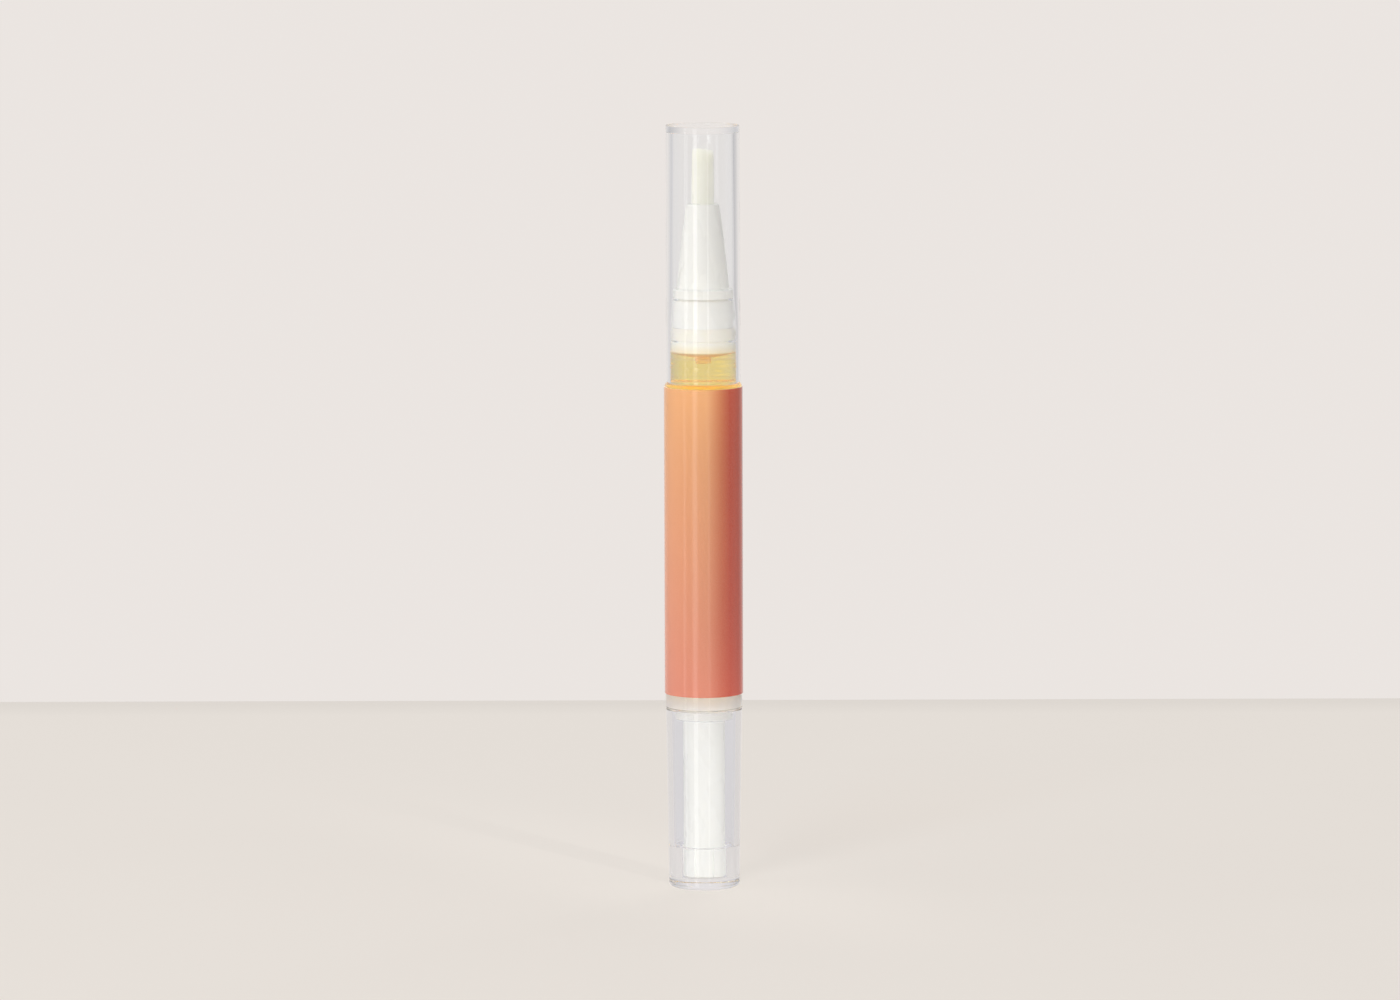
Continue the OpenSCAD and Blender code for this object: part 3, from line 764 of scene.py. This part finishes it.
def make_bristles(material):
    """A tuft of fine tapered strands on a slice of the root block. It is highest at its
    left, rounds off to its rim, and a few strands stray."""
    chance = random.Random(11)
    rows = 7
    sides = 4
    tube_gap = 0.02
    root_r = FEED_R + tube_gap
    root_z = BRUSH_ROOT_Z - BRUSH_SLICE
    bm = bmesh.new()
    turned(bm, [(root_r, root_z), (BRUSH_R, root_z), (BRUSH_R, BRUSH_ROOT_Z),
                (root_r, BRUSH_ROOT_Z)])
    golden = math.pi * (3 - math.sqrt(5))
    inner = FEED_R + BRISTLE_D
    outer = BRUSH_R - BRISTLE_D / 2
    # How the tuft is trimmed, and how its strands bend, swell, draw together and taper
    crown_drop = 0.15 * BRUSH_R
    slant_drop = 0.2 * BRUSH_R
    sway = 0.05
    swell = 0.02
    gather = 0.07
    taper = 0.55
    from_z = BRUSH_ROOT_Z - BRUSH_SLICE / 2
    for i in range(BRISTLES):
        share = (i + 0.5) / BRISTLES
        r = math.sqrt((1 - share) * inner ** 2 + share * outer ** 2)
        angle = golden * i
        root = Vector((r * math.cos(angle), r * math.sin(angle), 0))
        trim = crown_drop * (r / BRUSH_R) ** 2 + slant_drop * (1 + root.x / BRUSH_R) / 2
        to_z = BRUSH_Z + BRUSH_STRAY - trim - abs(chance.gauss(0, BRUSH_STRAY))
        bend = Vector((chance.gauss(0, sway), chance.gauss(0, sway), 0))
        rings = []
        for row in range(rows):
            z = from_z + row / (rows - 1) * (to_z - from_z)
            free = max(0, (z - TIP_Z) / (BRUSH_Z - TIP_Z))
            belly = 1 + swell * math.sin(math.pi * free) - gather * free ** 2
            centre = root * belly + bend * free ** 2
            width = BRISTLE_D / 2 * (1 - taper * free ** 3)
            ring = []
            for k in range(sides):
                turn = 2 * math.pi * k / sides + angle
                ring.append(bm.verts.new(((centre.x + width * math.cos(turn)) * MM,
                                          (centre.y + width * math.sin(turn)) * MM, z * MM)))
            rings.append(ring)
        skin_over(bm, rings)
    return finished("brush_tuft", bm, "barrel_body", material, "bristle", "brush_bristles")


def make_screw(material):
    """The screw: a double thread of 2 mm lead, cut by its two flats, and the head that
    snaps into the piston."""
    lead = 2.0
    starts = 2
    depth = 0.35
    crest = 0.3
    flank = 0.4
    run_out = 0.6
    step = 0.1
    round_steps = 96
    bar_top = PISTON_Z - 0.1
    bar_length = bar_top - SCREW_Z

    def thread_radius(z, angle):
        phase = starts * (z / lead - angle / (2 * math.pi)) % 1
        off = abs(phase - 0.5) * 2
        fall = min(max((off - crest) / flank, 0), 1)
        start = min(max((z - SCREW_Z) / run_out, 0), 1)
        end = min(max((bar_top - z) / run_out, 0), 1)
        return SCREW_R - depth + depth * (1 - fall) * start * end

    bm = bmesh.new()
    rings = []
    count = round(bar_length / step)
    for i in range(count + 1):
        z = SCREW_Z + bar_length * i / count
        ring = []
        for k in range(round_steps):
            angle = 2 * math.pi * k / round_steps
            r = cut_by_flats(thread_radius(z, angle), angle, SCREW_FLATS)
            ring.append(bm.verts.new((r * math.cos(angle) * MM, r * math.sin(angle) * MM,
                                      z * MM)))
        rings.append(ring)
    skin_over(bm, rings)
    head_z = PISTON_Z + 1.1
    head_land = 0.9
    sunk = 0.3
    turned(bm, [
        (0, bar_top - sunk), (HEAD_NECK_R, bar_top - sunk), (HEAD_NECK_R, head_z),
        (HEAD_R, head_z, FINE), (HEAD_R, head_z + head_land, FINE),
        (HEAD_NECK_R, SCREW_TOP_Z, FINE), (0, SCREW_TOP_Z),
    ])
    return finished("threaded_screw", bm, "screw_body", material, "white_plastic",
                    "screw_rod")


def make_bush(material, tail_material):
    """The bush from its CAD mesh, with the stretch inside the barrel swelled into the
    barrel's wall, as a pressed-in bush is. Its thin tail is clearer."""
    mouth = (BARREL_Z + 0.1) * MM
    pressed = (BORE_R + WETTED) * MM
    outside = (BORE_R - 0.1) * MM
    bm = bmesh.new()
    bm.from_mesh(nodes["end_bush"].data)
    bmesh.ops.bisect_plane(bm, geom=[*bm.verts, *bm.edges, *bm.faces],
                           plane_co=(0, 0, mouth), plane_no=(0, 0, 1))
    for vert in bm.verts:
        reach = math.hypot(vert.co.x, vert.co.y)
        if vert.co.z > mouth - TINY and reach > outside:
            vert.co.x *= pressed / reach
            vert.co.y *= pressed / reach
    for face in bm.faces:
        in_tail = face.calc_center_median().z < mouth
        face.material_index = 1 if in_tail else 0
    piece = finished("pressed_bush", bm, "barrel_body", material, "natural_plastic",
                     "end_bush")
    piece.data.materials.append(tail_material)
    return piece


def dress(node, material):
    """A CAD node that stays as it is gets its finish."""
    slots = nodes[node].data.materials
    slots.clear()
    slots.append(material)


# Stage

# The wall's tones, and where each gives way to the next as a direction turns from
# straight ahead or behind, 0, to a side, 1
WALL = (0.83, 0.785, 0.755)
WALL_LEFT = (0.62, 0.61, 0.62)
WALL_RIGHT = (0.52, 0.51, 0.52)
WALL_FLANK = (0.74, 0.73, 0.74)
WALL_TO_DIM = (0.35, 0.8)
DIM_TO_FLANK = (0.86, 0.98)
LEFT_TO_RIGHT = (-0.1, 0.1)
AMBIENT = (0.47, 0.465, 0.47)
# The tabletop's tones, with a painted shadow line that darkens its far edge where it meets the
# wall, the share of them that glows by itself, where that painted shade starts and is full,
# and where it ends, in millimetres behind the pen
FLOOR = (0.84, 0.79, 0.735)
FLOOR_MOTTLE = tuple(0.985 * c for c in FLOOR)
FLOOR_EDGE_SHADE = tuple(0.93 * c for c in FLOOR)
FLOOR_GLOW = 0.65
EDGE_SHADE_SPAN = (187.0, 201.0)
FLOOR_END = 205.0
FLOOR_REACH = 3000.0
# Where the lamps are aimed, in millimetres up the pen, and the pools' lamp radius
PANEL_AIM_Z = 60.0
NECK_AIM_Z = 87.3
FOOT_AIM_Z = 6.0
POOL_LAMP_R = 10.0


def seen_factor(tree):
    """1 for camera, glossy and transmission rays, 0 for the rest."""
    path = tree.nodes.new("ShaderNodeLightPath")
    mirrored = calculated(tree, "MAXIMUM", path.outputs["Is Camera Ray"],
                          path.outputs["Is Glossy Ray"])
    return calculated(tree, "MAXIMUM", mirrored, path.outputs["Is Transmission Ray"])


def make_world():
    """A pale wall all round with a dimmer stretch to each side. What isn't seen or
    mirrored is lit by the plain ambient light instead."""
    world = bpy.data.worlds.new("studio")
    world.use_nodes = True
    tree = world.node_tree
    tree.nodes.clear()
    x, _, _ = place_in(tree, "Generated")
    side = calculated(tree, "ABSOLUTE", x)
    dim = mix(tree, spread(tree, x, 0, 1, *LEFT_TO_RIGHT), WALL_LEFT, WALL_RIGHT)
    near_wall = mix(tree, spread(tree, side, 0, 1, *WALL_TO_DIM), WALL, dim)
    wall = mix(tree, spread(tree, side, 0, 1, *DIM_TO_FLANK), near_wall, WALL_FLANK)
    seen = tree.nodes.new("ShaderNodeBackground")
    tree.links.new(wall, seen.inputs["Color"])
    light = tree.nodes.new("ShaderNodeBackground")
    light.inputs["Color"].default_value = (*AMBIENT, 1)
    mixer = tree.nodes.new("ShaderNodeMixShader")
    tree.links.new(seen_factor(tree), mixer.inputs[0])
    tree.links.new(light.outputs["Background"], mixer.inputs[1])
    tree.links.new(seen.outputs["Background"], mixer.inputs[2])
    output = tree.nodes.new("ShaderNodeOutputWorld")
    tree.links.new(mixer.outputs["Shader"], output.inputs["Surface"])
    bpy.context.scene.world = world


def make_floor():
    """A matt tabletop that ends a hand's breadth behind the pen, with painted shade along its
    far edge.
    """
    material, tree, shader, output = new_material("tabletop")
    near = mix(tree, noise(tree, 60, (1, 1, 1), 3), FLOOR, FLOOR_MOTTLE)
    _, y, _ = place_in(tree)
    # Painted shade: the floor darkens over its last stretch, a painted shadow line where it
    # meets the wall.
    far = spread(tree, y, 0, 1, EDGE_SHADE_SPAN[0] * MM, EDGE_SHADE_SPAN[1] * MM)
    colour = mix(tree, far, near, FLOOR_EDGE_SHADE)
    tree.links.new(colour, shader.inputs["Base Color"])
    shader.inputs["Roughness"].default_value = 0.9
    shader.inputs["Specular IOR Level"].default_value = 0.1
    glow = tree.nodes.new("ShaderNodeEmission")
    tree.links.new(colour, glow.inputs["Color"])
    mixer = tree.nodes.new("ShaderNodeMixShader")
    share = calculated(tree, "MULTIPLY", seen_factor(tree), FLOOR_GLOW)
    tree.links.new(share, mixer.inputs[0])
    tree.links.new(shader.outputs["BSDF"], mixer.inputs[1])
    tree.links.new(glow.outputs["Emission"], mixer.inputs[2])
    tree.links.new(mixer.outputs["Shader"], output.inputs["Surface"])
    mesh = bpy.data.meshes.new("floor")
    reach = FLOOR_REACH * MM
    mesh.from_pydata([(-reach, -reach, 0), (reach, -reach, 0),
                      (reach, FLOOR_END * MM, 0), (-reach, FLOOR_END * MM, 0)],
                     [], [(0, 1, 2, 3)])
    mesh.materials.append(material)
    floor = bpy.data.objects.new("floor", mesh)
    bpy.context.scene.collection.objects.link(floor)
    floor.visible_glossy = False


def direction(azimuth, elevation):
    """The way from the pen to a lamp. azimuth is to the right of the label's front, in
    degrees, and elevation is up from level."""
    turn, lift = math.radians(azimuth), math.radians(elevation)
    return Vector((math.sin(turn) * math.cos(lift), -math.cos(turn) * math.cos(lift),
                   math.sin(lift)))


def hang(data, away, distance, aim_z, streak):
    """Puts up a lamp that faces the pen at a height of aim_z. A lamp with no streak isn't
    mirrored in gloss."""
    holder = bpy.data.objects.new(data.name, data)
    bpy.context.scene.collection.objects.link(holder)
    holder.location = Vector((0, 0, aim_z * MM)) + distance * away
    holder.rotation_euler = (-away).to_track_quat("-Z", "Y").to_euler()
    holder.visible_camera = False
    holder.visible_glossy = streak
    holder.visible_transmission = streak


def add_panel(name, azimuth, elevation, distance, size, power, streak):
    """A soft panel that lights the whole pen. Its distance and size are in metres."""
    data = bpy.data.lights.new(name, "AREA")
    data.shape = "RECTANGLE"
    data.size, data.size_y = size
    data.energy = power
    hang(data, direction(azimuth, elevation), distance, PANEL_AIM_Z, streak)


def add_pool(name, azimuth, elevation, distance, reach, power, colour, aim_z):
    """A soft round pool of light on the pen, reach millimetres in radius, from a lamp
    distance metres away."""
    data = bpy.data.lights.new(name, "SPOT")
    data.energy = power
    data.color = colour
    data.spot_size = 2 * math.atan(reach * MM / distance)
    data.spot_blend = 1
    data.shadow_soft_size = POOL_LAMP_R * MM
    hang(data, direction(azimuth, elevation), distance, aim_z, False)


def make_lights():
    """Soft light from the upper left as in the photograph, upright strips that draw the
    streaks in the gloss, fills, and two pools for the foot and the neck."""
    add_panel("soft_key", -24, 38, 1.2, (0.35, 0.35), 3.5, False)
    add_panel("left_fill", -80, 20, 1.0, (0.6, 0.8), 2.2, False)
    add_panel("key_strip", -25, 0, 0.9, (0.20, 1.2), 1.0, True)
    add_panel("left_strip", -57, 0, 0.9, (0.10, 1.2), 0.4, True)
    add_panel("right_strip", 16, -8, 0.9, (0.07, 0.5), 0.1, True)
    add_panel("right_fill", 65, 10, 1.0, (0.4, 0.8), 1.0, False)
    add_panel("back_fill", 160, 20, 1.3, (0.8, 0.8), 5.0, False)
    add_pool("foot_pool", 33, 20, 0.8, 32, 7.5, (1.0, 0.98, 0.94), FOOT_AIM_Z)
    add_pool("neck_pool", 10, 10, 0.8, 13, 6.5, (1.0, 0.955, 0.85), NECK_AIM_Z)


# Camera, from the photograph's perspective
CAMERA_TARGET = Vector((-0.57, 0, 63.7))
CAMERA_DISTANCE = 1318.0
CAMERA_ELEVATION = math.radians(7.1)
CAMERA_ROLL = math.radians(-0.15)
CAMERA_LENS = 207.77
CAMERA_SENSOR = 36.0


def make_camera():
    """The camera in front of the pen, a little above it."""
    data = bpy.data.cameras.new("camera")
    data.lens = CAMERA_LENS
    data.sensor_width = CAMERA_SENSOR
    data.sensor_fit = "HORIZONTAL"
    data.clip_end = 20
    holder = bpy.data.objects.new("camera", data)
    bpy.context.scene.collection.objects.link(holder)
    away = Vector((0, -math.cos(CAMERA_ELEVATION), math.sin(CAMERA_ELEVATION)))
    holder.location = (CAMERA_TARGET + CAMERA_DISTANCE * away) * MM
    facing = (-away).to_track_quat("-Z", "Y").to_matrix()
    holder.rotation_euler = (facing @ Matrix.Rotation(CAMERA_ROLL, 3, "Z")).to_euler()
    bpy.context.scene.camera = holder


def main():
    """Builds the pieces and the stage."""
    white = white_plastic("white_plastic", (0.975, 0.97, 0.90), (0.95, 0.945, 0.87))
    warm_white = white_plastic("sleeve_plastic", (0.96, 0.965, 0.885), (0.935, 0.94, 0.855))
    filament = nylon()
    make_cap(clear_plastic("clear_plastic", (0.98, 0.99, 1.0), (0.97, 0.985, 0.995)))
    make_barrel(clear_plastic("barrel_plastic", (0.99, 0.99, 0.99), (0.98, 0.985, 0.985)))
    make_sleeve(warm_white)
    make_knob(clear_plastic("knob_plastic", (0.94, 0.955, 1.0), (0.92, 0.94, 0.985)))
    # The skirt's material is a slightly lighter copy of the white: painted light for the skirt
    # inside the collar.
    make_nozzle(white,
                white_plastic("skirt_plastic_painted_light", (0.98, 0.975, 0.905), (0.965, 0.96, 0.885)))
    make_plug(natural_plastic("plug_plastic", PLUG_Z))
    oil = make_oil(oil_liquid())
    make_label(label_film(), film_edge())
    make_bristles(filament)
    make_screw(white)
    make_bush(milky_plastic("milky_plastic", 0.55, 0.3),
              clear_plastic("tail_plastic", (0.99, 0.985, 0.975), (0.98, 0.975, 0.965)))
    dress("brush_root", filament)
    dress("feed_tube", white)
    dress("piston", natural_plastic("natural_plastic", 0))
    dress("click_ring", white)
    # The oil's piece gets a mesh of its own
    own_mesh(oil)
    make_world()
    make_floor()
    make_lights()
    make_camera()
    scene = bpy.context.scene
    scene.view_settings.view_transform = "Standard"
    scene.cycles.max_bounces = 96
    scene.cycles.diffuse_bounces = 12
    scene.cycles.glossy_bounces = 96
    scene.cycles.transmission_bounces = 96
    scene.cycles.transparent_max_bounces = 96


main()
